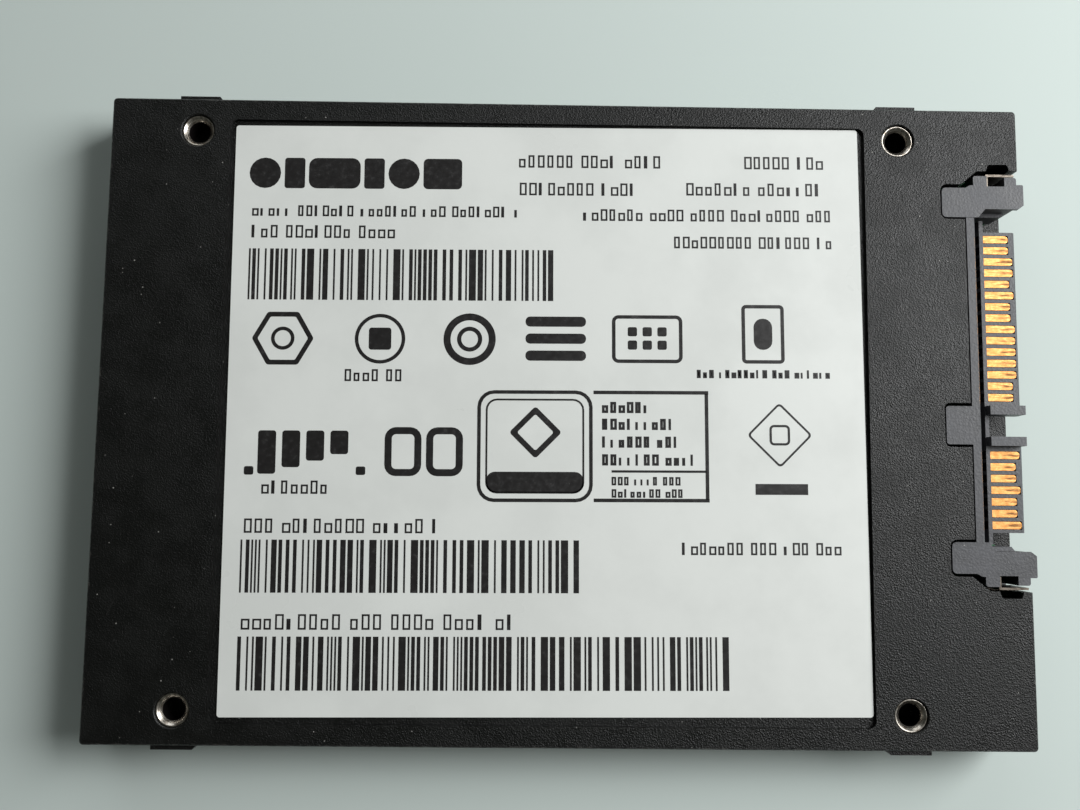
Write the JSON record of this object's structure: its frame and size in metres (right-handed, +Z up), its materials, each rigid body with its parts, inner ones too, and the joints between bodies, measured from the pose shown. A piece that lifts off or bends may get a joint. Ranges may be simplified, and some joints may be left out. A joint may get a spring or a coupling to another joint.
{
  "type": "solid state drive",
  "caption": "Slim rectangular plastic-cased solid state drive with a recessed label, threaded inserts and a keyed edge plug with gold contacts.",
  "frame": {"origin": "middle of the drive's 99.9 x 69.85 mm footprint, on the surface that the cover rests on", "axes": "+Z up out of the label face, +X towards the plug, +Y towards the long side that is nearer the power contacts"},
  "size_m": [0.0998, 0.0698, 0.007],
  "materials": {
    "case_plastic": "near-black moulded plastic with a fine sand grain",
    "plug_plastic": "dark grey glass-filled plastic, slightly mottled",
    "label_film": "satin white printed film",
    "insert_steel": "nickel-plated, turned countersink",
    "contact_gold": "gold-plated, with wiping marks",
    "tinned_metal": "tin-plated sheet",
    "board_laminate": "green solder mask over copper tracks",
    "chip_resin": "black moulded epoxy",
    "capacitor_ceramic": "tan ceramic body with tinned ends",
    "thermal_silicone": "grey-blue soft silicone"
  },
  "bodies": {
    "root": {"base_shell": "case_plastic", "cover": "case_plastic", "plug_housing": "plug_plastic", "label": "label_film", "face_insert_front_left": "insert_steel", "face_insert_front_right": "insert_steel", "face_insert_rear_left": "insert_steel", "face_insert_rear_right": "insert_steel", "side_insert_front_left": "insert_steel", "side_insert_front_right": "insert_steel", "side_insert_rear_left": "insert_steel", "side_insert_rear_right": "insert_steel", "power_contact_01": "contact_gold", "power_contact_02": "contact_gold", "power_contact_03": "contact_gold", "power_contact_04": "contact_gold", "power_contact_05": "contact_gold", "power_contact_06": "contact_gold", "power_contact_07": "contact_gold", "power_contact_08": "contact_gold", "power_contact_09": "contact_gold", "power_contact_10": "contact_gold", "power_contact_11": "contact_gold", "power_contact_12": "contact_gold", "power_contact_13": "contact_gold", "power_contact_14": "contact_gold", "power_contact_15": "contact_gold", "signal_contact_01": "contact_gold", "signal_contact_02": "contact_gold", "signal_contact_03": "contact_gold", "signal_contact_04": "contact_gold", "signal_contact_05": "contact_gold", "signal_contact_06": "contact_gold", "signal_contact_07": "contact_gold", "board_lock_power": "tinned_metal", "board_lock_signal": "tinned_metal", "crystal": "tinned_metal", "filter_capacitor": "tinned_metal", "circuit_board": "board_laminate", "controller_chip": "chip_resin", "memory_chip_1": "chip_resin", "memory_chip_2": "chip_resin", "power_regulator": "chip_resin", "inductor_1": "chip_resin", "inductor_2": "chip_resin", "bulk_capacitor_1": "capacitor_ceramic", "bulk_capacitor_2": "capacitor_ceramic", "bulk_capacitor_3": "capacitor_ceramic", "bulk_capacitor_4": "capacitor_ceramic", "thermal_pad": "thermal_silicone"}
  },
  "joints": []
}
